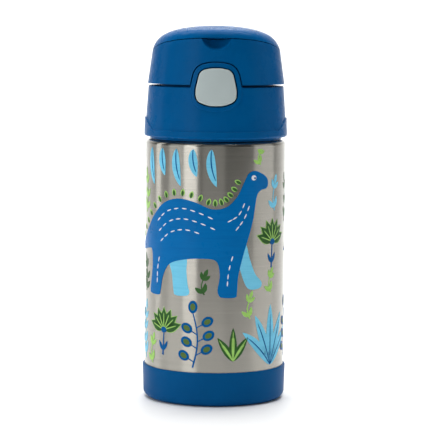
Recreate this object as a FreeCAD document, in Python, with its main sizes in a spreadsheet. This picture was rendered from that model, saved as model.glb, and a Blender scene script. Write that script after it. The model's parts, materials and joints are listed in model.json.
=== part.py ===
import FreeCAD, Part
import math
import os
import re
import Sketcher
from FreeCAD import Placement, Rotation, Vector

# Kids' vacuum bottle with a push-button flip lid. Millimetres, +Z up, origin at the centre of the
# underside. The button faces -Y and the lid's hinge is at +Y.

SIZES = [
    # vacuum flask
    ("shell_rad", 35.6, "outside of the steel body"),
    ("shell_wall", 0.6, "outer steel"),
    ("shell_low", 3.0, "underside of the steel body"),
    ("shoulder_top", 132.4, "flat of the shoulder"),
    ("shoulder_round", 2.2, "shoulder corner"),
    ("foot_round", 3.2, "lower corner of the steel body"),
    ("neck_rad", 29.3, "outside of the neck"),
    ("neck_top", 147.0, "drinking edge of the flask"),
    ("lip_thick", 0.5, "rolled lip"),
    ("flask_rad", 33.0, "outside of the inner flask"),
    ("flask_wall", 0.4, "inner steel"),
    ("flask_low", 9.0, "underside of the inner flask"),
    ("flask_neck_rad", 27.6, "outside of the inner flask's neck"),
    ("flask_cone_low", 121.5, "where the inner flask starts to narrow"),
    ("flask_cone_top", 128.6, "where the inner flask's neck starts"),
    ("plate_rad", 31.4, "bottom plate"),
    ("plate_rise", 1.4, "bottom plate's recess"),
    ("foil_thick", 0.12, "heat foil"),
    # bumper
    ("bumper_top", 17.3, "upper edge of the bumper"),
    ("bumper_rad", 36.62, "bumper at its lip"),
    ("bumper_low_rad", 36.1, "bumper at the floor"),
    ("bumper_in_rad", 35.65, "bumper's inside"),
    ("bumper_round", 4.0, "bumper's lower corner"),
    # thread
    ("pitch", 4.0, "lid thread, right hand, single start"),
    ("male_crest", 30.4, "neck thread crest"),
    ("insert_in_rad", 30.8, "thread insert's inside"),
    ("insert_out_rad", 32.35, "thread insert's outside"),
    ("female_crest", 29.7, "insert thread crest"),
    ("thread_low", 134.9, "start of the neck thread"),
    ("thread_turns", 1.5, "turns on each side"),
    ("thread_width", 1.7, "ridge at its root"),
    # lid base
    ("base_low", 133.9, "underside of the lid"),
    ("skirt_gap", 0.3, "lid's inner skirt above the shoulder"),
    ("base_bore", 32.4, "bore that takes the insert"),
    ("ring_rad", 36.4, "grip ring"),
    ("ring_top", 137.5, "upper edge of the grip ring"),
    ("base_low_rad", 35.95, "wall just above the ring"),
    ("base_top", 159.6, "upper edge of the lid base"),
    ("base_top_rad", 34.4, "wall at that edge"),
    ("deck_low", 149.4, "underside of the deck"),
    ("deck_top", 152.9, "top of the deck"),
    ("coam_rad", 28.45, "outside of the coaming"),
    ("coam_top", 163.0, "top of the coaming"),
    ("lug_top", 143.5, "raised part of the ring at each side"),
    ("lug_half", 6.0, "half its flat top"),
    ("lug_foot", 15.5, "half its foot"),
    # cover
    ("cover_low", 160.7, "underside of the cover"),
    ("cover_rad", 34.8, "wall at that edge"),
    ("cover_slope", 0.14, "inward lean of the wall"),
    ("cover_wall", 2.2, "cover's thickness"),
    ("crown_top", 190.0, "highest point"),
    ("crown_sweep", 192.0, "crown radius from front to back"),
    ("crown_flat_arc", 108.0, "crown radius across, middle"),
    ("crown_side_arc", 30.5, "crown radius across, towards the sides"),
    ("crown_join", 16.8, "where those two arcs meet"),
    ("crown_side_round", 12.0, "edge rounding at the sides"),
    ("crown_front_round", 5.0, "edge rounding at the front and back"),
    # carry handle
    ("pivot_y", 8.0, "handle pivot"),
    ("pivot_z", 182.0, "handle pivot"),
    ("split_rad", 162.0, "arc under the handle"),
    ("split_y", -54.3, "centre of that arc"),
    ("split_z", 23.7, "centre of that arc"),
    ("handle_gap", 0.4, "groove round the handle"),
    ("core_half", 21.0, "half width of the dome inside the handle"),
    ("core_rad", 28.5, "reach of that dome from the pivot"),
    ("core_round", 8.0, "corner rounding of that dome"),
    ("stub_rad", 2.0, "handle's stub pins"),
    ("stub_gap", 0.06, "running clearance of the stubs"),
    ("stub_len", 3.8, "stub length"),
    ("notch_rad", 9.2, "thumb notch ball"),
    ("notch_y", -35.5, "centre of that ball"),
    ("notch_z", 186.4, "centre of that ball"),
    # hinge
    ("hinge_y", 33.0, "cover hinge"),
    ("hinge_z", 161.5, "cover hinge"),
    ("pin_rad", 1.25, "hinge pin"),
    ("pin_gap", 0.06, "running clearance of the pin"),
    ("knuckle_rad", 3.0, "hinge knuckles"),
    ("knuckle_gap", 0.35, "room round the knuckles"),
    ("cover_knuckle_in", 4.7, "inner face of the cover's knuckles"),
    ("knuckle_len", 4.0, "each knuckle"),
    ("base_knuckle_in", 9.0, "inner face of the lid base's knuckles"),
    # button and latch
    ("bezel_grow", 2.75, "bezel's outline outside the button's"),
    ("bezel_low", 147.2, "bottom of the bezel"),
    ("bezel_top", 171.6, "top of the bezel"),
    ("bezel_rad", 35.7, "bezel face at its bottom"),
    ("bezel_top_rad", 33.9, "bezel face at its top"),
    ("bezel_edge", 0.45, "rounding of the bezel's face"),
    ("button_half", 10.2, "half width of the button"),
    ("button_low", 150.4, "bottom of the button"),
    ("button_top", 169.0, "top of the button"),
    ("button_proud", 0.45, "button in front of the bezel"),
    ("button_gap", 0.65, "gap round the button"),
    ("cover_cut_gap", 0.55, "gap round the bezel"),
    ("button_back", 30.2, "rear face of the button, from the axis"),
    ("button_edge", 0.7, "rounding of the button's face"),
    ("latch_back", 28.1, "rear face of the latch plate, from the axis"),
    ("seat_front", 19.6, "front face of the spring seat, from the axis"),
    # drinking parts
    ("spout_y", 10.0, "spout and straw"),
    ("spout_z", 158.0, "bend of the spout"),
    ("spout_rad", 4.5, "spout at the bend"),
    ("spout_bore", 2.0, "way through the spout"),
    ("spout_len", 25.0, "from the bend to the spout's end"),
    ("spout_rise", 12.0, "folded spout above level"),
    ("straw_rad", 3.2, "outside of the straw"),
    ("straw_wall", 0.7, "straw's thickness"),
    ("straw_low", 16.0, "lower end of the straw"),
    ("valve_x", -14.0, "vent valve"),
]

DOC = FreeCAD.newDocument("kids_bottle")
SHEET = DOC.addObject("Spreadsheet::Sheet", "dims")
SUMS = DOC.addObject("Spreadsheet::Sheet", "sums")
for row, (name, number, words) in enumerate(SIZES, 1):
    SHEET.set("A%d" % row, name)
    SHEET.set("B%d" % row, str(number))
    SHEET.setAlias("B%d" % row, name)
    SHEET.set("C%d" % row, words)
DOC.recompute()
WORDS = {name for name, number, words in SIZES}
KNOWN = {}
NODES = []


def linked(formula):
    """A formula in the sheet's words, as the rest of the document has to write it."""
    return re.sub(r"[a-z_]+", lambda m: "dims." + m[0] if m[0] in WORDS else m[0], formula)


def mm(formula):
    """The number a formula comes to."""
    if not isinstance(formula, str):
        return float(formula)
    if formula not in KNOWN:
        SUMS.set("A1", "=" + linked(formula))
        SUMS.recompute()
        KNOWN[formula] = float(SUMS.get("A1"))
    return KNOWN[formula]


def bind(thing, field, formula):
    """Tie a property to the sheet."""
    if isinstance(formula, str):
        thing.setExpression(field, linked(formula))


def sketch_loop(sketch, points):
    """A closed outline of straight lines with every corner tied to the sheet."""
    spots = [Vector(mm(a), mm(b), 0) for a, b in points]
    count = len(spots)
    for i in range(count):
        sketch.addGeometry(Part.LineSegment(spots[i], spots[(i + 1) % count]), False)
    for i in range(count):
        sketch.addConstraint(Sketcher.Constraint("Coincident", i, 2, (i + 1) % count, 1))
    for i, (a, b) in enumerate(points):
        for kind, formula in (("DistanceX", a), ("DistanceY", b)):
            index = sketch.addConstraint(Sketcher.Constraint(kind, -1, 1, i, 1, mm(formula)))
            bind(sketch, "Constraints[%d]" % index, formula)


def new_body(name, plane, points):
    body = DOC.addObject("PartDesign::Body", name)
    sketch = body.newObject("Sketcher::SketchObject", name + "_sketch")
    sketch.AttachmentSupport = [(next(f for f in body.Origin.OriginFeatures if f.Role == plane), "")]
    sketch.MapMode = "FlatFace"
    sketch_loop(sketch, points)
    return body, sketch


def round_edges(body, radius, chosen):
    """Round the edges of a body that a test picks out."""
    DOC.recompute()
    names = ["Edge%d" % (i + 1) for i, edge in enumerate(body.Shape.Edges) if chosen(edge)]
    before = body.Tip
    fillet = body.newObject("PartDesign::Fillet", body.Name + "_round")
    fillet.Base = (before, names)
    fillet.Radius = mm(radius)
    bind(fillet, "Radius", radius)


def lathe(name, points, rounds=()):
    """Turned body; points are (radius, height), rounds are (corner number, radius)."""
    body, sketch = new_body(name, "XZ_Plane", points)
    turned = body.newObject("PartDesign::Revolution", name + "_turned")
    turned.Profile = sketch
    turned.ReferenceAxis = (sketch, ["V_Axis"])
    turned.Angle = 360
    for corner, radius in rounds:
        rad, height = (mm(v) for v in points[corner])

        def at_corner(edge, rad=rad, height=height):
            ring = edge.Curve
            return (isinstance(ring, Part.Circle) and abs(ring.Radius - rad) < 1e-4
                    and abs(ring.Center.z - height) < 1e-4)

        round_edges(body, radius, at_corner)
    DOC.recompute()
    return body


def prism(name, plane, points, start, length, rounds=()):
    """Straight-sided body; start and length run along the plane's normal (-Y, +X or +Z)."""
    body, sketch = new_body(name, plane, points)
    sketch.AttachmentOffset = Placement(Vector(0, 0, mm(start)), Rotation())
    bind(sketch, "AttachmentOffset.Base.z", start)
    pad = body.newObject("PartDesign::Pad", name + "_pad")
    pad.Profile = sketch
    pad.Length = mm(length)
    bind(pad, "Length", length)
    across = {"XZ_Plane": (0, 2), "YZ_Plane": (1, 2), "XY_Plane": (0, 1)}[plane]
    for corner, radius in rounds:
        spot = [mm(v) for v in points[corner]]

        def at_corner(edge, spot=spot):
            return all(math.hypot(v.Point[across[0]] - spot[0], v.Point[across[1]] - spot[1]) < 1e-4
                       for v in edge.Vertexes)

        round_edges(body, radius, at_corner)
    DOC.recompute()
    return body


TURNS = {"X": Rotation(Vector(0, 1, 0), 90), "Y": Rotation(Vector(1, 0, 0), -90), "Z": Rotation()}


def place(thing, spot, axis="Z"):
    thing.Placement = Placement(Vector(*[mm(v) for v in spot]), TURNS[axis])
    for letter, formula in zip("xyz", spot):
        bind(thing, "Placement.Base." + letter, formula)
    return thing


def primitive(kind, name, spot, axis="Z", **fields):
    thing = DOC.addObject("Part::" + kind, name)
    for field, formula in fields.items():
        setattr(thing, field, mm(formula))
        bind(thing, field, formula)
    return place(thing, spot, axis)


def rod(name, radius, length, spot, axis="Z"):
    return primitive("Cylinder", name, spot, axis, Radius=radius, Height=length)


def block(name, spot, sides):
    return primitive("Box", name, spot, Length=sides[0], Width=sides[1], Height=sides[2])


def combine(kind, name, things, refine=True):
    """MultiFuse or MultiCommon of several objects."""
    thing = DOC.addObject("Part::" + kind, name)
    thing.Shapes = list(things)
    thing.Refine = refine
    DOC.recompute()
    return thing


def fuse(name, *things, refine=True):
    return combine("MultiFuse", name, things, refine)


def common(name, *things):
    return combine("MultiCommon", name, things)


def cut(name, base, *tools):
    thing = DOC.addObject("Part::Cut", name)
    thing.Base = base
    thing.Tool = tools[0] if len(tools) == 1 else fuse(name + "_tools", *tools)
    thing.Refine = True
    DOC.recompute()
    return thing


def feature(name, shape):
    thing = DOC.addObject("Part::Feature", name)
    thing.Shape = shape
    return thing


def node(label, thing):
    thing.Label = label
    NODES.append(thing)
    return thing


def helix_solid(profile, pitch, turns, radius):
    """Sweep a closed profile, drawn at angle 0, up a right-hand helix about Z."""
    path = Part.makeLongHelix(pitch, pitch * turns, radius)
    sweep = Part.BRepOffsetAPI.MakePipeShell(path)
    sweep.setFrenetMode(True)
    sweep.add(profile)
    sweep.build()
    sweep.makeSolid()
    return sweep.shape()


def ridge(name, root, crest, low):
    """One thread ridge whose root is buried a little in its wall."""
    half, tip = mm("thread_width") / 2, mm("thread_width") / 4
    corners = [Vector(root, 0, -half), Vector(crest, 0, -tip), Vector(crest, 0, tip),
               Vector(root, 0, half)]
    profile = Part.makePolygon(corners + corners[:1])
    shape = helix_solid(profile, mm("pitch"), mm("thread_turns"), (root + crest) / 2)
    shape.translate(Vector(0, 0, low))
    return feature(name, shape)


# ---- vacuum flask ----------------------------------------------------------------------------

def make_flask():
    inner = "shell_rad - shell_wall"
    neck_in = "neck_rad - shell_wall"
    tube = lathe("shell_tube", [
        ("plate_rad", "shell_low"), ("shell_rad", "shell_low"), ("shell_rad", "shoulder_top"),
        ("neck_rad", "shoulder_top"), ("neck_rad", "neck_top - lip_thick"),
        (neck_in, "neck_top - lip_thick"), (neck_in, "shoulder_top - shell_wall"),
        (inner, "shoulder_top - shell_wall"), (inner, "shell_low + shell_wall"),
        ("plate_rad", "shell_low + shell_wall")],
        [(1, "foot_round"), (8, "foot_round - shell_wall"), (2, "shoulder_round"),
         (7, "shoulder_round - shell_wall"), (3, 0.8)])
    thread = ridge("neck_thread", mm("neck_rad") - 0.2, mm("male_crest"), mm("thread_low"))
    node("outer_shell", fuse("outer_shell", tube, thread, refine=False))

    bore = "flask_rad - flask_wall"
    throat = "flask_neck_rad - flask_wall"
    node("inner_flask", lathe("inner_flask", [
        (0, "flask_low"), ("flask_rad", "flask_low"), ("flask_rad", "flask_cone_low"),
        ("flask_neck_rad", "flask_cone_top"), ("flask_neck_rad", "neck_top - lip_thick"),
        ("neck_rad", "neck_top - lip_thick"), ("neck_rad", "neck_top"), (throat, "neck_top"),
        (throat, "flask_cone_top + 0.2"), (bore, "flask_cone_low + 0.2"),
        (bore, "flask_low + flask_wall"), (0, "flask_low + flask_wall")],
        [(1, 7.0), (10, 6.6), (2, 3.0), (9, 2.6), (7, 0.2)]))

    top = "shell_low + plate_rise"
    node("base_plate", lathe("base_plate", [
        (0, top), ("plate_rad - 5.6", top), ("plate_rad - 3.1", "shell_low"),
        ("plate_rad", "shell_low"), ("plate_rad", "shell_low + shell_wall"),
        ("plate_rad - 2.9", "shell_low + shell_wall"), ("plate_rad - 5.4", top + " + shell_wall"),
        (0, top + " + shell_wall")]))
    foil = "flask_rad + 0.05"
    node("heat_foil", lathe("heat_foil", [
        (foil, 18), (foil + " + foil_thick", 18), (foil + " + foil_thick", 118), (foil, 118)]))
    node("getter", rod("getter", 4, 1.2, (14, 0, "shell_low + plate_rise + shell_wall")))
    node("seal_plug", rod("seal_plug", 3, "plate_rise - 0.2", (0, 0, "shell_low + 0.2")))
    node("base_bumper", lathe("base_bumper", [
        (0, 1.0), (27.5, 1.0), (28.5, 0), ("bumper_low_rad", 0), ("bumper_rad", "bumper_top"),
        ("bumper_in_rad", "bumper_top"), ("bumper_in_rad", "shell_low"), (0, "shell_low")],
        [(3, "bumper_round"), (6, "foot_round"), (4, 0.5)]))


# ---- the button's outline ----------------------------------------------------------------------

# right-hand corners, from the bottom up: share of the half width, share of the height, rounding
SHIELD = [(0.34, 0.0, 12.0), (0.955, 0.12, 4.2), (1.014, 0.395, 14.0), (0.785, 0.935, 4.4),
          (0.24, 1.0, 11.0)]


def shield_prism(name, grow, start, length):
    """The button's outline, moved outwards by grow all round and run out towards the front."""
    tall = mm("button_top - button_low")
    side = [(a * mm("button_half"), b * tall) for a, b, _ in SHIELD]
    ring = side + [(-x, z) for x, z in reversed(side)]
    outline, rounds = [], []
    for i, (x, z) in enumerate(ring):
        before, after = ring[i - 1], ring[(i + 1) % len(ring)]
        lean_in = math.atan2(z - before[1], x - before[0])
        lean_out = math.atan2(after[1] - z, after[0] - x)
        middle, stretch = (lean_in + lean_out) / 2, 1 / math.cos((lean_out - lean_in) / 2)
        if lean_out < lean_in - math.pi:
            middle, stretch = middle + math.pi, -stretch
        sign = 1 if i < len(side) else -1
        share = SHIELD[i if i < len(side) else len(ring) - 1 - i]
        outline.append(("%d * button_half * %g + (%s) * %.5f" % (
            sign, share[0], grow, math.sin(middle) * stretch),
            "button_low + (button_top - button_low) * %g + (%s) * %.5f" % (
                share[1], grow, -math.cos(middle) * stretch)))
        rounds.append((i, "%g + %s" % (share[2], grow)))
    return prism(name, "XZ_Plane", outline, start, length, rounds)


def face_radius(extra, height):
    """Formula for the bezel's face, moved outwards by extra, at a height."""
    slope = "(bezel_rad - bezel_top_rad) / (bezel_top - bezel_low)"
    return "bezel_rad + %s - (%s - bezel_low) * %s" % (extra, height, slope)


def face_cone(name, extra, low, high):
    """Solid cone whose side is the bezel's face, moved outwards by extra."""
    return lathe(name, [(0, low), (face_radius(extra, low), low),
                        (face_radius(extra, high), high), (0, high)])


def round_face(name, thing, extra, radius):
    """Round the rim of the front face of a piece cut by that cone."""
    low, high = mm(face_radius(extra, "bezel_low")), mm(face_radius(extra, "bezel_top"))
    slope = (low - high) / mm("bezel_top - bezel_low")

    def on_face(edge):
        return all(abs(math.hypot(p.x, p.y) - low + (p.z - mm("bezel_low")) * slope) < 0.02
                   for p in edge.discretize(5))

    rounded = DOC.addObject("Part::Fillet", name)
    rounded.Base = thing
    rounded.Edges = [(i + 1, mm(radius), mm(radius))
                     for i, edge in enumerate(thing.Shape.Edges) if on_face(edge)]
    DOC.recompute()
    return rounded


# ---- lid base --------------------------------------------------------------------------------

def hinge_rod(name, radius, start, length):
    return rod(name, radius, length, (start, "hinge_y", "hinge_z"), "X")


def make_lid_base():
    wall = lathe("base_wall", [
        ("base_bore", "shoulder_top + skirt_gap"), ("base_bore + 1", "shoulder_top + skirt_gap"),
        ("base_bore + 1", "base_low"), ("ring_rad", "base_low"), ("ring_rad", "ring_top"),
        ("base_low_rad", "ring_top + 0.2"), ("base_top_rad", "base_top"),
        ("base_top_rad - 2.5", "base_top"), ("base_top_rad - 1.8", "deck_top"),
        ("coam_rad", "deck_top"), ("coam_rad", "coam_top"), ("coam_rad - 2.05", "coam_top"),
        ("coam_rad - 2.05", "deck_top"), (0, "deck_top"), (0, "deck_low"),
        ("base_bore", "deck_low")], [(3, 1.2), (4, 0.25), (6, 0.6), (10, 0.4), (11, 0.4)])

    lug_side = prism("lug_side", "YZ_Plane", [
        ("-lug_foot - 4", "ring_top - 1"), ("lug_foot + 4", "ring_top - 1"),
        ("lug_half", "lug_top"), ("-lug_half", "lug_top")], -40, 80, [(2, 4), (3, 4)])
    lug_skin = lathe("lug_skin", [
        ("base_bore + 1", "ring_top - 1"), ("ring_rad", "ring_top - 1"),
        ("ring_rad - 0.25", "lug_top + 1"), ("base_bore + 1", "lug_top + 1")])
    lugs = common("side_lugs", lug_side, lug_skin)

    sharp = common("bezel_sharp", shield_prism("bezel_form", "bezel_grow", 24, 20),
                   face_cone("bezel_face", "0", "bezel_low - 1", "bezel_top + 1"))
    bezel = round_face("bezel", sharp, "0", "bezel_edge")
    behind = lathe("bezel_inside", [
        (0, "bezel_low - 2"), ("base_top_rad - 1.8", "bezel_low - 2"),
        ("base_top_rad - 2.6", "base_top"), ("bezel_top_rad - 2.2", "bezel_top + 2"),
        (0, "bezel_top + 2")])
    bezel_shell = cut("bezel_shell", bezel, behind)

    webs = []
    for side in (-1, 1):
        start = "base_knuckle_in" if side > 0 else "-base_knuckle_in - knuckle_len"
        tag = "right" if side > 0 else "left"
        webs.append(hinge_rod("base_knuckle_" + tag, "knuckle_rad", start, "knuckle_len"))
        webs.append(prism("base_web_" + tag, "YZ_Plane", [
            ("hinge_y - 2.8", "hinge_z - 4.5"), ("hinge_y - 0.6", "hinge_z - 6.5"),
            ("hinge_y + 2.3", "hinge_z - 1.5"), ("hinge_y + 2.3", "hinge_z"),
            ("hinge_y - 2.9", "hinge_z")], start, "knuckle_len"))

    hinge_room = hinge_rod("base_hinge_room", "knuckle_rad + knuckle_gap",
                           "-base_knuckle_in", "base_knuckle_in * 2")
    latch_room = block("latch_room", (-11, -30.6, "deck_top"), (22, 8, 20))
    button_room = shield_prism("button_room", "button_gap", "button_back - 2", 12)
    spout_hole = rod("spout_hole", "spout_rad + 1.05", 10, (0, "spout_y", "deck_low - 2"))
    valve_hole = rod("valve_hole", 1.55, 10, ("valve_x", "spout_y", "deck_low - 2"))
    open_wall = cut("open_wall", wall, hinge_room, latch_room, spout_hole, valve_hole)
    whole = fuse("base_whole", open_wall, lugs, bezel_shell, *webs)
    pin_bore = hinge_rod("base_pin_bore", "pin_rad + 0.01", -15, 30)
    node("lid_base", cut("lid_base", whole, button_room, pin_bore))

    wall_in = lathe("insert_wall", [
        ("insert_in_rad", "shoulder_top + 0.5"), ("insert_out_rad", "shoulder_top + 0.5"),
        ("insert_out_rad", "deck_low"), ("insert_in_rad", "deck_low")])
    thread = ridge("insert_thread", mm("insert_in_rad") + 0.2, mm("female_crest"),
                   mm("thread_low + pitch / 2"))
    node("thread_insert", fuse("thread_insert", wall_in, thread, refine=False))
    node("lid_gasket", lathe("lid_gasket", [
        (26.4, "neck_top + 0.05"), (29.1, "neck_top + 0.05"), (29.1, "deck_low - 0.05"),
        (26.4, "deck_low - 0.05")], [(0, 0.6), (1, 0.6)]))


# ---- cover and carry handle ------------------------------------------------------------------

def crown_height(across):
    """Height of the crown at a distance from the middle plane."""
    flat, side, join = mm("crown_flat_arc"), mm("crown_side_arc"), mm("crown_join")
    top = mm("crown_top")
    if across <= join:
        return top - flat + math.sqrt(flat ** 2 - across ** 2)
    lean = math.asin(join / flat)
    centre_x = join - side * math.sin(lean)
    centre_z = top - flat + flat * math.cos(lean) - side * math.cos(lean)
    return centre_z + math.sqrt(side ** 2 - (across - centre_x) ** 2)


def crown_form():
    """Solid form of the cover and handle together: a leaning wall under a swept crown."""
    low, rad, tall = mm("cover_low"), mm("cover_rad"), mm("crown_top") - mm("cover_low") + 5
    wall = Part.makeCone(rad, rad - mm("cover_slope") * tall, tall, Vector(0, 0, low))
    reach = 36
    marks = [-36, -30, -24, -16, -8, 0, 8, 16, 24, 30, 36]
    arc = Part.BSplineCurve()
    arc.interpolate([Vector(x, 0, crown_height(abs(x))) for x in marks])
    edge_z, foot = crown_height(reach), low - 10
    rest = Part.makePolygon([Vector(reach, 0, edge_z), Vector(reach, 0, foot),
                             Vector(-reach, 0, foot), Vector(-reach, 0, edge_z)])
    section = Part.Face(Part.Wire([arc.toShape()] + rest.Edges))
    centre = Vector(0, 0, mm("crown_top") - mm("crown_sweep"))
    section.rotate(centre, Vector(1, 0, 0), -14)
    swept = section.revolve(centre, Vector(1, 0, 0), 28)
    quarter = wall.common(swept).common(Part.makeBox(60, 60, 300, Vector(0, -60, 0))).Solids[0]

    def on_rim(edge):
        return all(v.Point.z > low + 5 and abs(math.hypot(v.Point.x, v.Point.y) - rad
                   + mm("cover_slope") * (v.Point.z - low)) < 0.01 for v in edge.Vertexes)

    rim = [edge for edge in quarter.Edges if on_rim(edge)]
    quarter = quarter.makeFillet(mm("crown_side_round"), mm("crown_front_round"), rim).Solids[0]
    half = quarter.fuse(quarter.mirror(Vector(), Vector(1, 0, 0)))
    return half.fuse(half.mirror(Vector(), Vector(0, 1, 0))).removeSplitter()


def core_form(name, grow):
    """The dome between the handle's arms, turned about the handle's pivot."""
    half, rad = "core_half + " + grow, "core_rad + " + grow
    body = lathe(name, [(0, "-(%s)" % half), (rad, "-(%s)" % half), (rad, half), (0, half)],
                 [(1, "core_round + " + grow), (2, "core_round + " + grow)])
    return place(body, (0, "pivot_y", "pivot_z"), "X")


def handle_region(name, gap):
    """Everything over the arc under the handle, and the round ends of its arms."""
    reach = "sqrt((pivot_y - split_y)^2 + (pivot_z - split_z)^2)"
    touch = "split_y + split_rad * (pivot_y - split_y) / " + reach
    front = block(name + "_front", (-40, -45, 150), (80, "%s + 45" % touch, 60))
    below = rod(name + "_below", "split_rad - " + gap, 90, (-45, "split_y", "split_z"), "X")
    ends = rod(name + "_ends", "%s - split_rad + %s" % (reach, gap), 80,
               (-40, "pivot_y", "pivot_z"), "X")
    return fuse(name, cut(name + "_over", front, below), ends)


def make_cover():
    form = feature("crown_form", crown_form())
    handle = common("handle_form", form, handle_region("handle_zone", "0"))
    arms = cut("handle_arms", handle, core_form("handle_opening", "handle_gap"))
    stubs = [rod("stub_" + tag, "stub_rad", "stub_len + 1", (start, "pivot_y", "pivot_z"), "X")
             for tag, start in (("right", "core_half + handle_gap - stub_len"),
                                ("left", "-core_half - handle_gap - 1"))]
    node("carry_handle", fuse("carry_handle", arms, *stubs))

    swing = block("handle_swing_room", (-40, "pivot_y - 3", "pivot_z"), (80, 9.9, 20))
    zone = fuse("handle_space", handle_region("handle_room", "handle_gap"), swing)
    space = cut("handle_space_round_core", zone, core_form("cover_core", "0"))

    slope = "cover_slope * (crown_top - cover_low)"
    inside = lathe("cover_inside", [
        (0, "cover_low - 1"), ("cover_rad - cover_wall + cover_slope", "cover_low - 1"),
        ("cover_rad - cover_wall - " + slope, "crown_top"), (0, "crown_top")])
    under = rod("under_handle", "split_rad - handle_gap - cover_wall", 90,
                (-45, "split_y", "split_z"), "X")
    keep = rod("round_arm_ends", 10.6, 90, (-45, "pivot_y", "pivot_z"), "X")
    backing = block("notch_backing", (-9, -34, 176), (18, 9, 12))
    rooms = fuse("cover_rooms", cut("room_front", under, keep, backing),
                 block("room_rear", (-40, 18.8, 150), (80, 25, 32)),
                 block("room_middle", (-15.5, -16, 150), (31, 36, 35.2)))
    hollow = common("cover_hollow", inside, rooms)

    opening = shield_prism("bezel_opening", "bezel_grow + cover_cut_gap", 22, 20)
    notch = primitive("Sphere", "thumb_notch", (0, "notch_y", "notch_z"), Radius="notch_rad")
    hinge_room = hinge_rod("cover_hinge_room", "knuckle_rad + knuckle_gap",
                           "-base_knuckle_in - knuckle_len - 0.3",
                           "(base_knuckle_in + knuckle_len + 0.3) * 2")
    shell = cut("cover_shell", form, space, hollow, opening, notch, hinge_room)

    extra = [block("catch_tab", (-4, -28.4, 167), (8, 1.2, 8.6)),
             block("catch_nose", (-4, -27.4, 167), (8, 0.8, 1.6)),
             block("catch_bridge", (-4, -31.2, 172.6), (8, 4, 3))]
    for side in (-1, 1):
        start = "cover_knuckle_in" if side > 0 else "-cover_knuckle_in - knuckle_len"
        tag = "right" if side > 0 else "left"
        extra.append(hinge_rod("cover_knuckle_" + tag, "knuckle_rad", start, "knuckle_len"))
        extra.append(prism("cover_web_" + tag, "YZ_Plane", [
            ("hinge_y - 2.9", "hinge_z"), ("hinge_y + 2.9", "hinge_z + 0.7"),
            ("hinge_y + 0.4", "hinge_z + 7"), ("hinge_y - 2.3", "hinge_z + 7")],
            start, "knuckle_len"))
    whole = fuse("cover_whole", shell, *extra)
    pin_bore = hinge_rod("cover_pin_bore", "pin_rad + pin_gap", -15, 30)
    stub_bores = [rod("stub_bore_" + tag, "stub_rad + stub_gap", "stub_len + 1",
                      (start, "pivot_y", "pivot_z"), "X")
                  for tag, start in (("right", "core_half - stub_len"), ("left", "-core_half - 1"))]
    node("cover", cut("cover", whole, pin_bore, *stub_bores))


# ---- hinge parts -----------------------------------------------------------------------------

def coil(radius, wire, pitch, turns, leg=0):
    """Round-wire coil up Z from the origin, with a straight leg at each end if asked."""
    ring = Part.Wire(Part.makeCircle(wire, Vector(radius, 0, 0), Vector(0, 1, 0)))
    shape = helix_solid(ring, pitch, turns, radius)
    if leg:
        low = Part.makeCylinder(wire, leg, Vector(radius, 0, 0), Vector(0, -1, 0))
        high = Part.makeCylinder(wire, leg, Vector(radius, 0, pitch * turns), Vector(0, 1, 0))
        shape = shape.fuse([low, high])
    return shape


def make_hinge():
    ends = "base_knuckle_in + knuckle_len"
    node("hinge_pin", hinge_rod("hinge_pin", "pin_rad", "-(%s)" % ends, "(%s) * 2" % ends))
    spring = feature("hinge_spring", coil(2.15, 0.3, 1.2, 7, leg=4.5))
    middle = Vector(-4.2, mm("hinge_y"), mm("hinge_z"))
    spring.Placement = Placement(middle, Rotation(Vector(0, -1, 0), Vector(0, 0, -1),
                                                  Vector(1, 0, 0), "ZXY"))
    node("hinge_spring", spring)


# ---- button, latch and their spring ----------------------------------------------------------

def make_button():
    form = shield_prism("button_form", "0", "button_back", 12)
    face = face_cone("button_face", "button_proud", "button_low - 1", "button_top + 1")
    sharp = common("button_sharp", form, face)
    node("push_button", round_face("push_button", sharp, "button_proud", "button_edge"))

    plate = block("latch_plate", (-6, "-button_back", 152.9 + 0.3),
                  (12, "button_back - latch_back", 12.3))
    arm = block("latch_arm", (-4, "-latch_back", 163), (8, 5, 2.5))
    post = block("latch_post", (-4, -25.3, 163), (8, 2.2, 7.8))
    hook = block("latch_hook", (-4, -25.95, 169.0), (8, 1, 1.8))
    node("button_latch", fuse("button_latch", plate, arm, post, hook))

    seat = block("seat_plate", (-8, "-seat_front", "deck_top"), (16, 1.6, 10))
    foot = block("seat_foot", (-8, "-seat_front", "deck_top"), (16, 3.4, 1.4))
    node("spring_seat", fuse("spring_seat", seat, foot))
    gap = mm("latch_back - seat_front") - 0.7
    spring = feature("button_spring", coil(2.6, 0.3, gap / 5, 5))
    spring.Placement = Placement(Vector(0, -mm("latch_back") + 0.35, 157.5), TURNS["Y"])
    node("button_spring", spring)


# ---- spout, straw and vent -------------------------------------------------------------------

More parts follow.
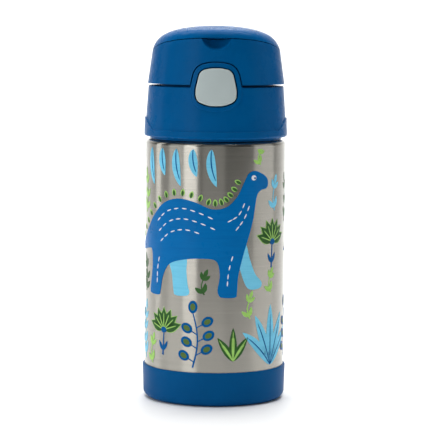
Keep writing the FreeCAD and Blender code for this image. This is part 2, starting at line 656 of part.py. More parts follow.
def make_drinking_parts():
    bend = "spout_z"
    flange = lathe("spout_flange", [
        (0, "deck_low - 1.6"), (6.6, "deck_low - 1.6"), (6.6, "deck_low"),
        ("spout_rad + 1", "deck_low"), ("spout_rad + 1", "deck_top"), (9, "deck_top"),
        (9, "deck_top + 1.4"), ("spout_rad", "deck_top + 1.9"), ("spout_rad", bend), (0, bend)],
        [(6, 0.6)])
    place(flange, (0, "spout_y", 0))
    ball = primitive("Sphere", "spout_ball", (0, "spout_y", bend), Radius="spout_rad")
    way = rod("spout_way", "spout_bore", 20, (0, "spout_y", "deck_low - 5"))
    socket = rod("straw_socket", "straw_rad", 3.6, (0, "spout_y", "deck_low - 1.7"))
    node("spout_base", cut("spout_base", fuse("spout_stem", flange, ball), way, socket))

    tip = lathe("spout_tip", [
        ("spout_bore", "spout_rad + 0.4"), ("spout_rad", "spout_rad + 0.4"), (3.9, 10),
        (4.4, 15.5), (5.1, 20), (4.6, "spout_len"), ("spout_bore", "spout_len")],
        [(2, 8), (4, 5), (5, 1.6)])
    tip.Placement = Placement(Vector(0, mm("spout_y"), mm(bend)), Rotation(Vector(1, 0, 0), 78))
    bind(tip, "Placement.Base.y", "spout_y")
    bind(tip, "Placement.Base.z", bend)
    bind(tip, "Placement.Rotation.Angle", "90 - spout_rise")
    node("spout_tip", tip)

    inner = "straw_rad - straw_wall"
    top = "deck_low + 1.8"
    straw = lathe("straw", [(inner, "straw_low"), ("straw_rad", "straw_low"), ("straw_rad", top),
                            (inner, top)])
    node("straw", place(straw, (0, "spout_y", 0)))

    valve = lathe("vent_valve", [
        (0, "deck_low - 2.2"), (2.2, "deck_low - 1.2"), (2.2, "deck_low"), (1.5, "deck_low"),
        (1.5, "deck_top"), (3.5, "deck_top"), (3.2, "deck_top + 1"), (0, "deck_top + 1.3")])
    node("vent_valve", place(valve, ("valve_x", "spout_y", 0)))


def export_nodes():
    """Check everything, then write one file for each piece."""
    DOC.recompute()
    for thing in DOC.Objects:
        if "Invalid" in thing.State or "Error" in thing.State:
            raise RuntimeError("%s: %s" % (thing.Name, thing.State))
    os.makedirs("parts", exist_ok=True)
    for thing in NODES:
        shape = thing.Shape
        if shape.isNull() or not shape.isValid() or len(shape.Solids) != 1:
            raise RuntimeError("%s: bad shape, %d solids" % (thing.Label, len(shape.Solids)))
    for thing in NODES:
        thing.Shape.exportStep("parts/%s.step" % thing.Label)
        print("%-14s %9.0f mm3" % (thing.Label, thing.Shape.Volume))


make_flask()
make_lid_base()
make_cover()
make_hinge()
make_button()
make_drinking_parts()
export_nodes()
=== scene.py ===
import json
import math

import bmesh
import bpy
from mathutils import Matrix, Vector
from mathutils.geometry import tessellate_polygon


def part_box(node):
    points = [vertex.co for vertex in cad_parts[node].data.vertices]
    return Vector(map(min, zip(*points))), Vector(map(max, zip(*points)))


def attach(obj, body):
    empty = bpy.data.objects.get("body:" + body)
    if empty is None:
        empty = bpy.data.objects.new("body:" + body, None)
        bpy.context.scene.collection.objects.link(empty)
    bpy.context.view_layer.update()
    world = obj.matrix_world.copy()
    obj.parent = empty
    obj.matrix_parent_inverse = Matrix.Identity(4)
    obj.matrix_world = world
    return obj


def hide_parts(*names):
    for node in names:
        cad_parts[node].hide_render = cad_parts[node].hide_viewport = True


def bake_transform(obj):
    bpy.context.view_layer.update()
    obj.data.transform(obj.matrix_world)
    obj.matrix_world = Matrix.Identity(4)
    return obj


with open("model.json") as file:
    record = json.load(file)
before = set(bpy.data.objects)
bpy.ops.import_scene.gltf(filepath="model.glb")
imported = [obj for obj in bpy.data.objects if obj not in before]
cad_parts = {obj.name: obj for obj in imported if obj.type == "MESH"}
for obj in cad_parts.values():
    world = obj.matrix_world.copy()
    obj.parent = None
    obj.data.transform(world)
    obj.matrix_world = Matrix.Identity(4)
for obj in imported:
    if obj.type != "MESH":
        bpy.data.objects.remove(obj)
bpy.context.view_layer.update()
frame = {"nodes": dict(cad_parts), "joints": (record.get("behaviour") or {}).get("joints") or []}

MM = 0.001

# Heights of the surface relief, in metres.
GRAIN_HEIGHT = 0.04 * MM
BRUSHING_HEIGHT = 0.03 * MM
INK_HEIGHT = 0.02 * MM


# ---- materials ---------------------------------------------------------------------------------

def srgb(r, g, b):
    """Linear colour of an 8-bit sRGB one."""
    return tuple(((c / 255 + 0.055) / 1.055) ** 2.4 if c > 10 else c / 255 / 12.92
                 for c in (r, g, b)) + (1.0,)


class Mat:
    """A node material under construction."""

    def __init__(self, name):
        """Start with one Principled shader and the object's own coordinates."""
        self.m = bpy.data.materials.new(name)
        self.m.use_nodes = True
        self.t = self.m.node_tree
        self.t.nodes.clear()
        self.out = self.t.nodes.new("ShaderNodeOutputMaterial")
        self.s = self.t.nodes.new("ShaderNodeBsdfPrincipled")
        self.link(self.s.outputs[0], self.out.inputs[0])
        self.xyz = self.t.nodes.new("ShaderNodeTexCoord").outputs["Object"]

    def link(self, a, b):
        self.t.links.new(a, b)

    def set(self, **values):
        """Constants on the shader's sockets, spaces written as underscores."""
        for key, value in values.items():
            self.s.inputs[key.replace("_", " ")].default_value = value

    def scaled(self, x, y, z):
        """The object's coordinates, stretched by a factor along each axis."""
        n = self.t.nodes.new("ShaderNodeMapping")
        n.inputs["Scale"].default_value = (x, y, z)
        self.link(self.xyz, n.inputs["Vector"])
        return n.outputs[0]

    def noise(self, where, scale, detail=2.0, rough=0.5):
        n = self.t.nodes.new("ShaderNodeTexNoise")
        n.inputs["Scale"].default_value = scale
        n.inputs["Detail"].default_value = detail
        n.inputs["Roughness"].default_value = rough
        self.link(where, n.inputs["Vector"])
        return n.outputs["Fac"]

    def ramp(self, fac, *stops):
        """stops are (place, colour)."""
        n = self.t.nodes.new("ShaderNodeValToRGB")
        e = n.color_ramp.elements
        while len(e) < len(stops):
            e.new(0.5)
        for i, (p, c) in enumerate(stops):
            e[i].position = p
            e[i].color = c if isinstance(c, tuple) else (c, c, c, 1)
        self.link(fac, n.inputs[0])
        return n.outputs[0]

    def to(self, value, name):
        self.link(value, self.s.inputs[name])

    def bump(self, height, strength, distance):
        n = self.t.nodes.new("ShaderNodeBump")
        n.inputs["Strength"].default_value = strength
        n.inputs["Distance"].default_value = distance
        self.link(height, n.inputs["Height"])
        self.link(n.outputs[0], self.s.inputs["Normal"])


def moulded(name, dark, light, rough=(0.3, 0.38), grain=1400, shine=0.2, sub=0.0):
    """Moulded plastic or silicone: slight colour drift, fine grain, uneven gloss."""
    m = Mat(name)
    drift = m.noise(m.xyz, 45, 3, 0.55)
    m.to(m.ramp(drift, (0.3, dark), (0.7, light)), "Base Color")
    gloss = m.noise(m.xyz, 120, 4, 0.6)
    m.to(m.ramp(gloss, (0.3, rough[0]), (0.7, rough[1])), "Roughness")
    m.bump(m.noise(m.xyz, grain, 2, 0.5), 0.07, GRAIN_HEIGHT)
    m.set(Specular_IOR_Level=shine, Subsurface_Weight=sub)
    if sub:
        m.set(Subsurface_Scale=0.002)
    return m.m


def metal(name, dark, light, rough=(0.21, 0.25), streak=(14, 14, 9000), aniso=0.85, depth=0.08):
    """Brushed or turned steel with lines running round Z."""
    m = Mat(name)
    lines = m.noise(m.scaled(*streak), 1.0, 3, 0.65)
    m.to(m.ramp(lines, (0.28, dark), (0.72, light)), "Base Color")
    m.to(m.ramp(lines, (0.2, rough[0]), (0.8, rough[1])), "Roughness")
    m.bump(lines, depth, BRUSHING_HEIGHT)
    m.set(Metallic=1.0, Anisotropic=aniso, Anisotropic_Rotation=0.25)
    if aniso:
        tangent = m.t.nodes.new("ShaderNodeTangent")
        tangent.direction_type = "RADIAL"
        tangent.axis = "Z"
        m.to(tangent.outputs[0], "Tangent")
    return m.m


def ink(name, colour, edge):
    """Screen-printed ink: flat colour with a faint mottle, over the brushing."""
    m = Mat(name)
    mottle = m.noise(m.scaled(60, 60, 900), 1.0, 3, 0.6)
    m.to(m.ramp(mottle, (0.25, edge), (0.6, colour)), "Base Color")
    gloss = m.noise(m.xyz, 300, 3, 0.6)
    m.to(m.ramp(gloss, (0.3, 0.26), (0.7, 0.36)), "Roughness")
    m.bump(mottle, 0.08, INK_HEIGHT)
    m.set(Specular_IOR_Level=0.06)
    return m.m


mats = {
    "blue": moulded("blue_plastic", srgb(0, 80, 136), srgb(0, 85, 142), rough=(0.25, 0.31),
                    shine=0.035),
    "bumper": moulded("blue_bumper", srgb(0, 76, 130), srgb(0, 81, 136), rough=(0.34, 0.42),
                      shine=0.035),
    "grey": moulded("grey_button", srgb(178, 190, 190), srgb(185, 197, 197), rough=(0.34, 0.44)),
    # painted shade: the thread insert's darker blue stands in for the shade in the gap between the
    # lid and the steel shoulder
    "insert": moulded("insert_plastic", srgb(0, 55, 106), srgb(0, 62, 116)),
    "latch": moulded("latch_plastic", srgb(140, 150, 150), srgb(150, 160, 160)),
    "silicone": moulded("clear_silicone", srgb(205, 210, 212), srgb(218, 222, 224),
                        rough=(0.38, 0.5), grain=700, sub=0.4),
    "straw": moulded("straw_plastic", srgb(205, 212, 216), srgb(216, 222, 226),
                     rough=(0.22, 0.3), sub=0.2),
    "steel": metal("brushed_steel", srgb(146, 144, 137), srgb(168, 165, 157)),
    "inner": metal("inner_steel", srgb(170, 168, 165), srgb(190, 188, 185), rough=(0.3, 0.4)),
    "wire": metal("wire_steel", srgb(150, 150, 150), srgb(180, 180, 180), rough=(0.2, 0.3),
                  streak=(900, 900, 900), aniso=0.0),
    "foil": metal("foil", srgb(190, 190, 190), srgb(210, 210, 210), rough=(0.15, 0.3),
                  streak=(300, 300, 300), aniso=0.0, depth=0.3),
    "getter": metal("getter_metal", srgb(90, 90, 92), srgb(110, 110, 112), rough=(0.5, 0.6),
                    streak=(900, 900, 900), aniso=0.0),
}

FINISH = {
    "outer_shell": "steel", "inner_flask": "inner", "base_plate": "inner", "heat_foil": "foil",
    "getter": "getter", "seal_plug": "getter", "base_bumper": "bumper", "lid_gasket": "silicone",
    "lid_base": "blue", "thread_insert": "insert", "hinge_pin": "wire", "hinge_spring": "wire",
    "spring_seat": "latch", "spout_base": "silicone", "straw": "straw", "vent_valve": "silicone",
    "cover": "blue", "carry_handle": "blue", "spout_tip": "silicone", "push_button": "grey",
    "button_latch": "latch", "button_spring": "wire",
}

for name, o in frame["nodes"].items():
    o.data.materials.clear()
    o.data.materials.append(mats[FINISH[name]])


# ---- flat printed shapes on the steel -----------------------------------------------------------

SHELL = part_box("outer_shell")[1].x
PRINT_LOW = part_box("base_bumper")[1].z + 0.2 * MM
PRINT_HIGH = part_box("lid_base")[0].z - 3.7 * MM
STRIP = math.radians(2.5) * SHELL    # width of the flat strips that a film is bent along
INK_STEP = 0.03 * MM                 # how far each layer of ink stands above the last


def smooth(points, steps=6, closed=True):
    """Dense points of a Catmull-Rom curve through given ones, in millimetres."""
    n = len(points)
    out = []
    for i in range(n if closed else n - 1):
        if closed:
            a, b, c, d = (Vector(points[(i + k) % n]) for k in (-1, 0, 1, 2))
        else:
            a, b, c, d = (Vector(points[min(max(i + k, 0), n - 1)]) for k in (-1, 0, 1, 2))
        for s in range(steps):
            t = s / steps
            out.append(0.5 * ((2 * b) + (c - a) * t + (2 * a - 5 * b + 4 * c - d) * t * t
                              + (3 * b - a - 3 * c + d) * t ** 3))
    if not closed:
        out.append(Vector(points[-1]))
    return out


def ribbon(line, width):
    """Outline of a line with a width at each share of its length."""
    left, right = [], []
    for i, p in enumerate(line):
        ahead = line[min(i + 1, len(line) - 1)] - line[max(i - 1, 0)]
        side = Vector((-ahead.y, ahead.x)).normalized() * width(i / (len(line) - 1)) / 2
        left.append(p + side)
        right.append(p - side)
    return left + right[::-1]


def leaf(base, angle, length, wide, bend=0.0, sharp=1.0):
    """A leaf from base, pointing along angle in degrees, bending to its left by bend degrees."""
    line, p = [], Vector(base)
    n = 14
    for i in range(n + 1):
        line.append(p.copy())
        a = math.radians(angle + bend * i / n)
        p += Vector((math.cos(a), math.sin(a))) * length / n
    return ribbon(line, lambda s: 0.12 + wide * math.sin(math.pi * s ** 0.85) ** sharp)


def oval(centre, across, tall, turn=0.0, n=24):
    """Outline of an oval, turned by turn in degrees."""
    c, s = math.cos(math.radians(turn)), math.sin(math.radians(turn))
    out = []
    for i in range(n):
        a = math.tau * i / n
        x, y = across / 2 * math.cos(a), tall / 2 * math.sin(a)
        out.append(Vector((centre[0] + x * c - y * s, centre[1] + x * s + y * c)))
    return out


class Print:
    """Every shape of one ink, laid on the steel as thin closed films."""

    def __init__(self):
        self.inks = {}

    def add(self, colour, outline, layer=0, shift=0.0):
        shape = [(p[0] * MM + shift, p[1] * MM) for p in outline]
        self.inks.setdefault(colour, []).append((shape, layer))

    def mesh(self, colour, material):
        whole = bmesh.new()
        for shape, layer in self.inks[colour]:
            part = flat_face(shape)
            wrap(part, SHELL + INK_STEP * (1 + layer), INK_STEP * (1.6 + layer))
            data = bpy.data.meshes.new("film")
            part.to_mesh(data)
            part.free()
            whole.from_mesh(data)
            bpy.data.meshes.remove(data)
        data = bpy.data.meshes.new("print_" + colour)
        whole.to_mesh(data)
        whole.free()
        data.shade_smooth()
        data.set_sharp_from_angle(angle=math.radians(30))
        obj = bpy.data.objects.new("print_" + colour, data)
        bpy.context.scene.collection.objects.link(obj)
        data.materials.append(material)
        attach(obj, "bottle")
        return obj


def flat_face(shape):
    """A flat sheet filling an outline (x is round the bottle, y is up), clipped to the printed
    band and cut into narrow upright strips."""
    bm = bmesh.new()
    verts = [bm.verts.new((x, z, 0)) for x, z in shape]
    for tri in tessellate_polygon([[Vector((x, z, 0)) for x, z in shape]]):
        try:
            bm.faces.new([verts[i] for i in tri])
        except ValueError:
            pass
    for height, side in ((PRINT_LOW, -1), (PRINT_HIGH, 1)):
        bmesh.ops.bisect_plane(bm, geom=bm.verts[:] + bm.edges[:] + bm.faces[:],
                               plane_co=(0, height, 0), plane_no=(0, side, 0), clear_outer=True)
    xs = [x for x, z in shape]
    for k in range(math.ceil(min(xs) / STRIP), math.floor(max(xs) / STRIP) + 1):
        bmesh.ops.bisect_plane(bm, geom=bm.verts[:] + bm.edges[:] + bm.faces[:],
                               plane_co=(k * STRIP, 0, 0), plane_no=(1, 0, 0))
    bmesh.ops.remove_doubles(bm, verts=bm.verts[:], dist=1e-6)
    loose = [v for v in bm.verts if not v.link_faces]
    bmesh.ops.delete(bm, geom=loose, context="VERTS")
    bmesh.ops.recalc_face_normals(bm, faces=bm.faces[:])
    if bm.faces and sum(f.normal.z for f in bm.faces) < 0:
        bmesh.ops.reverse_faces(bm, faces=bm.faces[:])
    return bm


def wrap(bm, rad, thick):
    """Bend a flat sheet round the bottle and give it a thickness, closed all round."""
    flat = bm.faces[:]
    grown = bmesh.ops.extrude_face_region(bm, geom=flat)
    top = {v for v in grown["geom"] if isinstance(v, bmesh.types.BMVert)}
    for v in bm.verts:
        a, z = v.co.x / SHELL, v.co.y
        r = rad + (thick if v in top else 0.0)
        v.co = Vector((r * math.sin(a), -r * math.cos(a), z))
    bmesh.ops.recalc_face_normals(bm, faces=bm.faces[:])


art = Print()


def vein(base, angle, length, wide, bend, shift):
    """A broad light leaf with a thin dark line down its middle."""
    art.add("light_blue", leaf(base, angle, length, wide, bend, 0.75), 0, shift)
    art.add("dark_blue", leaf(base, angle, length * 0.84, 0.5, bend, 0.4), 1, shift)


def spot(column, share):
    """A place on the print, in millimetres: sixths of one side round the bottle from its middle,
    and a share of the printed band up it."""
    low, high = PRINT_LOW / MM, PRINT_HIGH / MM
    return column * math.pi * SHELL / MM / 6, low + share * (high - low)


def sprig(colour, column, low, high, leaves, size, wide, shift):
    """A slightly bowed stem between two shares of the band's height, with pairs of leaves and one
    at its tip."""
    bow = 0.08 if leaves % 2 else -0.08
    line = smooth([spot(column, low), spot(column + bow, (low + high) / 2), spot(column, high)],
                  10, closed=False)
    art.add(colour, ribbon(line, lambda s: 0.8 * (1 - 0.4 * s)), 0, shift)
    spread = 46
    last = len(line) - 1
    for k in range(leaves):
        i = int((0.16 + 0.66 * k / max(leaves - 1, 1)) * last)
        ahead = line[min(i + 1, last)] - line[max(i - 1, 0)]
        angle = math.degrees(math.atan2(ahead.y, ahead.x))
        grow = 1 - 0.3 * k / leaves
        for side in (1, -1):
            art.add(colour, leaf(line[i], angle + side * spread, size * grow, wide * grow,
                                 -side * 22, 0.8), 0, shift)
    ahead = line[-1] - line[-3]
    art.add(colour, leaf(line[-1], math.degrees(math.atan2(ahead.y, ahead.x)), size * 0.85,
                         wide * 0.9, 0, 0.8), 0, shift)


# A plain long-necked dinosaur standing side on: millimetres round the bottle and up it.
BODY = [(29.6, 111.8), (28.6, 114.6), (25.2, 116.8), (20.8, 118.2), (17.2, 116.8), (14.8, 112.6),
        (11.0, 105.4), (5.6, 100.4), (-1.6, 99.4), (-10.0, 102.6), (-19.0, 104.2), (-28.0, 101.8),
        (-36.0, 95.4), (-43.6, 87.4), (-51.6, 80.6), (-60.6, 77.4), (-60.4, 76.0), (-50.8, 76.4),
        (-43.0, 77.6), (-38.8, 77.4), (-37.8, 71.0), (-38.8, 63.6), (-40.2, 57.2), (-38.8, 55.2),
        (-32.0, 55.0), (-30.6, 57.2), (-29.0, 64.4), (-24.6, 71.0), (-16.0, 73.8), (-6.0, 74.6),
        (0.8, 73.4), (2.6, 66.4), (1.6, 59.4), (2.2, 56.4), (4.0, 55.2), (10.4, 55.2),
        (11.4, 57.4), (12.0, 65.6), (14.4, 75.6), (17.6, 85.6), (20.0, 94.0), (21.2, 101.0),
        (22.4, 106.2), (24.6, 108.4), (28.4, 109.4)]
FAR_LEGS = [
    [(-25.0, 76.0), (-15.0, 76.0), (-14.4, 67.6), (-13.6, 61.0), (-12.8, 57.6), (-14.4, 55.8),
     (-20.6, 55.8), (-21.8, 58.4), (-22.8, 66.4)],
    [(9.0, 78.0), (15.4, 82.4), (18.4, 74.0), (21.6, 66.6), (25.6, 62.4), (24.6, 59.4),
     (18.4, 59.0), (15.4, 62.4), (12.6, 70.0)],
]
SPINE = [(13.6, 113.2), (10.0, 106.8), (5.2, 102.0), (-1.8, 100.8), (-10.2, 104.0), (-19.2, 105.6),
         (-28.6, 103.2), (-36.8, 96.6), (-44.4, 88.6), (-52.0, 81.8)]
DASHES = [((-33.0, 92.4), (-26.0, 97.6), (-17.0, 99.4), (-8.0, 97.4), (0.0, 94.0)),
          ((-32.0, 87.2), (-24.6, 92.6), (-16.0, 94.2), (-7.0, 92.2), (1.4, 88.6)),
          ((-30.6, 82.2), (-23.6, 87.2), (-15.0, 88.8), (-6.6, 86.8)),
          ((6.4, 93.0), (12.0, 96.4), (15.4, 103.0)), ((10.6, 88.8), (15.0, 94.6), (18.0, 101.6)),
          ((-33.4, 61.0), (-33.0, 68.0), (-31.6, 74.6)), ((6.4, 61.0), (7.2, 69.0), (9.4, 77.0))]


def dinosaur(shift):
    """The animal with its spikes, eye and dashes."""
    art.add("blue", smooth(BODY, 6), 1, shift)
    for leg in FAR_LEGS:
        art.add("light_blue", smooth(leg, 6), 0, shift)
    back = smooth(SPINE, 8, closed=False)
    for i in range(2, len(back) - 2, 4):
        along = back[i + 1] - back[i - 1]
        up = math.degrees(math.atan2(along.y, along.x)) - 90
        art.add("lime", leaf(back[i], up, 3.6, 2.2, 0, 0.6), 0, shift)
        art.add("green", leaf(back[i], up, 2.9, 1.3, 0, 0.6), 1, shift)
    art.add("white", oval((20.2, 114.8), 2.8, 2.6), 2, shift)
    art.add("dark_blue", oval((20.8, 114.6), 1.1, 1.1), 3, shift)
    for row in DASHES:
        line = smooth(row, 4, closed=False)
        for start, end in zip(line[::2], line[1::2]):
            dash = (end - start).normalized() * 1.25
            art.add("white", ribbon([start, start + dash, start + 2 * dash],
                                    lambda s: 0.3 + 0.35 * math.sin(math.pi * s)), 2, shift)


def hanging(columns, shift):
    """A row of long leaves that hang from the top edge, longer and shorter by turns."""
    for k, column in enumerate(columns):
        vein(spot(column, 1.0), 262, 19 - 5 * (k % 2), 4.6, 34, shift)


def fan_leaf(base, size, shift):
    """A fan of green lobes ruled with lime lines, on a stem with two small leaves."""
    x, z = base
    stem = smooth([(x - 0.6, z - 16 * size), (x - 0.2, z - 7 * size), (x, z)], 8, closed=False)
    art.add("dark_blue", ribbon(stem, lambda s: 1 - 0.35 * s), 0, shift)
    for k in range(7):
        angle = 90 + (k - 3) * 24
        art.add("lime", leaf((x, z), angle, 14.6 * size, 6.6 * size, 0, 1.1), 0, shift)
        art.add("green", leaf((x, z), angle, 14.0 * size, 5.8 * size, 0, 1.1), 1, shift)
    for k in range(7):
        art.add("lime", leaf((x, z), 90 + (k - 3) * 24, 10.6 * size, 0.5 * size, 0, 0.3), 2, shift)
    art.add("dark_blue", oval((x, z), 4.6 * size, 3.8 * size), 3, shift)
    for side in (1, -1):
        art.add("dark_blue", leaf((x - 0.5, z - 13 * size), 90 - side * 40, 7 * size, 2.2 * size,
                                  side * 20, 0.8), 0, shift)


def three_blade(base, size, shift):
    """Three green blades, evenly splayed, with lime ribs."""
    for side in (-1, 0, 1):
        angle, long, bend = 90 - 30 * side, 27 - 4 * abs(side), -8 * side
        art.add("green", leaf(base, angle, long * size, 6.2 * size, bend, 0.8), 0, shift)
        for lean, reach in ((0, 0.9), (7, 0.72), (-7, 0.72)):
            art.add("lime", leaf(base, angle + lean, long * reach * size, 0.55 * size,
                                 bend - 1.6 * lean, 0.3), 1, shift)


def grass(base, size, shift):
    """An even fan of long light blades from one root, the middle ones longest."""
    for k in (2, -2, 1, -1, 0):
        vein(base, 90 + 19 * k, (34 - 3 * abs(k)) * size, (6.6 - 0.4 * abs(k)) * size, 8 * k,
             shift)


def oval_branch(base, size, shift):
    """A bowed branch with oval leaves at even steps on alternate sides, and one at its tip."""
    tall, bow, steps = 33 * size, 3 * size, 40
    line = [Vector((base[0] + bow * math.sin(math.pi * i / steps), base[1] + tall * i / steps))
            for i in range(steps + 1)]
    art.add("dark_blue", ribbon(line, lambda s: (1.1 - 0.4 * s) * size), 0, shift)
    tips = [(line[-1], line[-1] + Vector((0, 3.4)) * size, 90)]
    for k in range(6):
        side = 1 if k % 2 else -1
        root = line[4 + 5 * k]
        tips.append((root, root + Vector((side * 6.6, 3.8)) * size, 90 - side * 58))
    for root, mid, turn in tips:
        art.add("dark_blue", ribbon([root, root.lerp(mid, 0.5), mid], lambda s: 0.65 * size), 0,
                shift)
        art.add("dark_blue", oval(mid, 7.6 * size, 5.8 * size, turn), 1, shift)
        art.add("olive", oval(mid, 4.4 * size, 3.1 * size, turn), 2, shift)


def scene_print(shift):
    """One side's worth of plants and one animal. shift turns it round the bottle."""
    dinosaur(shift)
    hanging((-2.1, -1.6, -1.1, -0.6, -0.1), shift)
    sprig("light_blue", -2.5, 0.03, 0.25, 4, 7.2, 2.6, shift)
    fan_leaf(spot(-1.5, 0.18), 0.8, shift)
    oval_branch(spot(-0.58, 0.02), 0.84, shift)
    three_blade(spot(0.52, 0.05), 0.62, shift)
    grass(spot(1.75, 0.02), 0.9, shift)
    sprig("lime", -2.0, 0.02, 0.12, 2, 5.6, 2.2, shift)
    sprig("lime", 1.0, 0.24, 0.33, 2, 5.0, 2.0, shift)
    oval_branch(spot(2.75, 0.04), 0.78, shift)
    sprig("green", -2.5, 0.34, 0.47, 3, 6.0, 2.5, shift)
    sprig("green", -0.27, 0.35, 0.43, 2, 5.0, 2.2, shift)
    sprig("lime", -2.5, 0.7, 0.86, 3, 6.2, 2.4, shift)
    fan_leaf(spot(1.8, 0.58), 0.82, shift)
    sprig("lime", 1.75, 0.35, 0.43, 2, 5.0, 2.2, shift)
    sprig("light_blue", 1.9, 0.72, 0.84, 2, 6.0, 2.4, shift)
    sprig("lime", 1.3, 0.93, 0.99, 2, 4.2, 1.8, shift)
    sprig("green", 2.65, 0.66, 0.84, 3, 6.2, 2.3, shift)


scene_print(0.0)
scene_print(math.pi * SHELL)

INKS = {
    "blue": (srgb(0, 106, 174), srgb(0, 100, 167)),
    "dark_blue": (srgb(0, 88, 152), srgb(0, 80, 142)),
    "light_blue": (srgb(122, 206, 236), srgb(108, 194, 226)),
    "green": (srgb(58, 98, 52), srgb(50, 88, 46)),
    "lime": (srgb(164, 212, 112), srgb(150, 200, 100)),
    "olive": (srgb(90, 118, 62), srgb(82, 108, 56)),
    "white": (srgb(232, 236, 238), srgb(222, 228, 230)),
}
for colour, (main, edge) in INKS.items():
    art.mesh(colour, ink("ink_" + colour, main, edge))


# ---- silicone spout ----------------------------------------------------------------------------

def tube(name, path, radii, bore, depth):
    """Round tube along a path, closed at its foot and bored at its tip for depth stations."""
    around = 40
    bm = bmesh.new()
    rings = []
    stations = list(zip(path, radii))
    inner = [(p, bore) for p in path[::-1][:depth]]
    for station, (p, r) in enumerate(stations + inner):
        index = station if station < len(path) else 2 * len(path) - 1 - station
        ahead = (path[min(index + 1, len(path) - 1)] - path[max(index - 1, 0)]).normalized()
        side = Vector((1, 0, 0))
        up = ahead.cross(side)
        rings.append([bm.verts.new(p + side * r * math.cos(a) + up * r * math.sin(a))
                      for a in (math.tau * k / around for k in range(around))])
    for a, b in zip(rings, rings[1:]):
        for k in range(around):
            bm.faces.new((a[k], a[(k + 1) % around], b[(k + 1) % around], b[k]))
    bm.faces.new(rings[0][::-1])
    bm.faces.new(rings[-1])
    bmesh.ops.recalc_face_normals(bm, faces=bm.faces[:])
    data = bpy.data.meshes.new(name)
    bm.to_mesh(data)
    bm.free()
    data.shade_smooth()
    obj = bpy.data.objects.new(name, data)
    bpy.context.scene.collection.objects.link(obj)
    return obj


fold_joint = next(j for j in frame["joints"] if j["name"] == "spout_fold")
bend = Vector(fold_joint["pos_m"])
FOLD = math.radians(12)    # how far above level the folded spout points


def make_spout():
    """The flange that stays on the deck, and the soft tube that folds forwards from it."""
    foot = bend.z - 5 * MM    # the deck's top
    rings = ((0, 8.6), (0.25, 9.0), (1.2, 9.0), (1.5, 8.7), (1.7, 5.6), (1.9, 5.0))
    flange = tube("spout_flange", [Vector((0, bend.y, foot + dz * MM)) for dz, r in rings],
                  [r * MM for dz, r in rings], 0, 0)
    flange.data.materials.append(mats["silicone"])
    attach(flange, "lid")
    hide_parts("spout_base")

    out = Vector((0, -math.cos(FOLD), math.sin(FOLD)))
    path, radii = [], []
    for dz, r in ((1.0, 4.6), (1.6, 4.7), (2.2, 4.6), (3.0, 4.5)):
        path.append(Vector((0, bend.y, foot + dz * MM)))
        radii.append(r * MM)
    turn, steps = 4.0 * MM, 10
    centre = Vector((0, bend.y - turn, bend.z - 1.2 * MM))
    for i in range(steps + 1):
        a = (math.pi / 2 - FOLD) * i / steps
        path.append(centre + Vector((0, math.cos(a), math.sin(a))) * turn)
        radii.append((4.45 + 0.18 * math.cos(i * math.pi)) * MM)
    mouth = path[-1]
    for s, r in ((1, 4.5), (2.2, 4.3), (4, 4.0), (6, 3.85), (8, 3.95), (10.5, 4.35), (13, 4.85),
                 (15, 5.05), (16.4, 5.0), (17.4, 4.7), (18.2, 4.2), (18.5, 3.5), (18.5, 2.6)):
        path.append(mouth + out * s * MM)
        radii.append(r * MM)
    spout = tube("spout", path, radii, 2.0 * MM, 9)
    spout.data.materials.append(mats["silicone"])
    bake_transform(spout)
    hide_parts("spout_base", "spout_tip")


make_spout()


def make_button_spring():
    """A copy of the button's spring from the CAD part, put in its place, with the CAD spring
    hidden.
    """
    node = frame["nodes"]["button_spring"]
    data = node.data.copy()
    data.transform(node.matrix_world)
    spring = bpy.data.objects.new("button_spring_soft", data)
    bpy.context.scene.collection.objects.link(spring)
    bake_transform(spring)
    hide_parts("button_spring")


make_button_spring()


# ---- studio --------------------------------------------------------------------------------------

def floor_material():
    """Pale behind and under the object, with painted shade: greyer out in front, standing in for a
    dim studio there, which the steel reflects.
    """
    painted_shade_until, pale_from = -0.75, -0.2
    m = Mat("floor_white_painted_shade")
    split = m.t.nodes.new("ShaderNodeSeparateXYZ")
    m.link(m.xyz, split.inputs[0])
    reach = m.t.nodes.new("ShaderNodeMapRange")
    reach.inputs["From Min"].default_value = painted_shade_until
    reach.inputs["From Max"].default_value = pale_from
    m.link(split.outputs["Y"], reach.inputs["Value"])
    # painted shade: the floor's own colour darkens from pale to grey towards the front
    m.to(m.ramp(reach.outputs[0], (0.0, 0.2), (1.0, 0.9)), "Base Color")
    m.set(Roughness=0.5)
    return m.m


def sweep():
    """Floor that curves up into a backdrop."""
    bm = bmesh.new()
    wide, back, radius, tall = 3.0, 1.6, 0.6, 3.0
    line = [(-2.5, 0.0), (back - radius, 0.0)]
    line += [(back - radius + radius * math.sin(a), radius - radius * math.cos(a))
             for a in (math.pi / 2 * k / 16 for k in range(1, 17))]
    line.append((back, tall))
    rows = [[bm.verts.new((x, y, z)) for x in (-wide, wide)] for y, z in line]
    for a, b in zip(rows, rows[1:]):
        bm.faces.new((a[0], a[1], b[1], b[0]))
    data = bpy.data.meshes.new("studio_floor")
    bm.to_mesh(data)
    bm.free()
    data.shade_smooth()
    obj = bpy.data.objects.new("studio_floor", data)
    bpy.context.scene.collection.objects.link(obj)
    data.materials.append(floor_material())


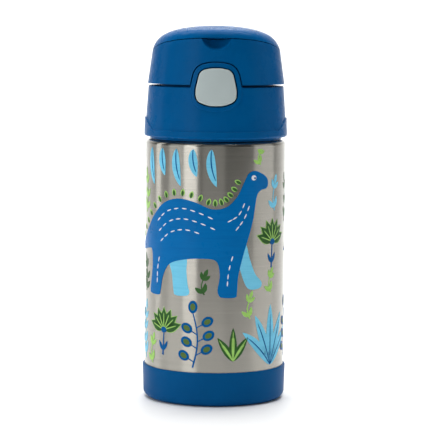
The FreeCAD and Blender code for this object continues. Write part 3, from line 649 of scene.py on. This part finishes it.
def lamp(name, place, target, size, power):
    """A rectangular light at place that faces target."""
    light = bpy.data.lights.new(name, "AREA")
    light.shape = "RECTANGLE"
    light.size, light.size_y = size
    light.energy = power
    obj = bpy.data.objects.new(name, light)
    obj.location = place
    obj.rotation_mode = "QUATERNION"
    obj.rotation_quaternion = (Vector(target) - Vector(place)).to_track_quat("-Z", "Y")
    obj.visible_camera = False
    bpy.context.scene.collection.objects.link(obj)


def softbox(name, angle, wide, tall, glow):
    """An upright light round the object; angle 0 is behind the camera, and positive is to the
    right. glow is how bright its face looks."""
    away, height, aim = 1.1, 0.16, 0.11
    a = math.radians(angle)
    place = (away * math.sin(a), -away * math.cos(a), height)
    lamp(name, place, (0, 0, aim), (wide, tall), glow * math.pi * wide * tall)


def studio():
    """The floor, a dim world and the lights."""
    sweep()
    world = bpy.data.worlds.new("studio")
    world.use_nodes = True
    world.node_tree.nodes["Background"].inputs[0].default_value = (1.0, 0.99, 0.97, 1)
    world.node_tree.nodes["Background"].inputs[1].default_value = 0.05
    bpy.context.scene.world = world
    softbox("strip_left", -106, 0.24, 1.3, 1.8)
    softbox("fill_left", -68, 0.5, 1.3, 0.9)
    softbox("key_left", -41, 0.46, 1.3, 2.8)
    softbox("front_fill", -2, 0.7, 1.3, 0.32)
    softbox("panel_right", 88, 0.9, 1.3, 0.8)
    lamp("top", (0, -0.05, 1.4), (0, -0.05, 0), (1.1, 0.8), 15)
    lamp("back_wash", (0, 0.9, 1.9), (0, 1.5, 0.4), (2.4, 0.8), 44)


def camera():
    """The photograph's view: distance and height in metres, pitch and roll in degrees."""
    far, height, pitch, roll = 1.072, 0.1918, 5.25, 0.5
    cam = bpy.data.cameras.new("camera")
    cam.sensor_width = 36.0
    cam.lens = 175.9
    cam.dof.use_dof = False
    obj = bpy.data.objects.new("camera", cam)
    bpy.context.scene.collection.objects.link(obj)
    tilt = Matrix.Rotation(math.radians(90 - pitch), 4, "X")
    lean = Matrix.Rotation(math.radians(roll), 4, "Z")
    obj.matrix_world = Matrix.Translation((0, -far, height)) @ tilt @ lean
    bpy.context.scene.camera = obj


studio()
camera()
bpy.context.scene.view_settings.view_transform = "Standard"
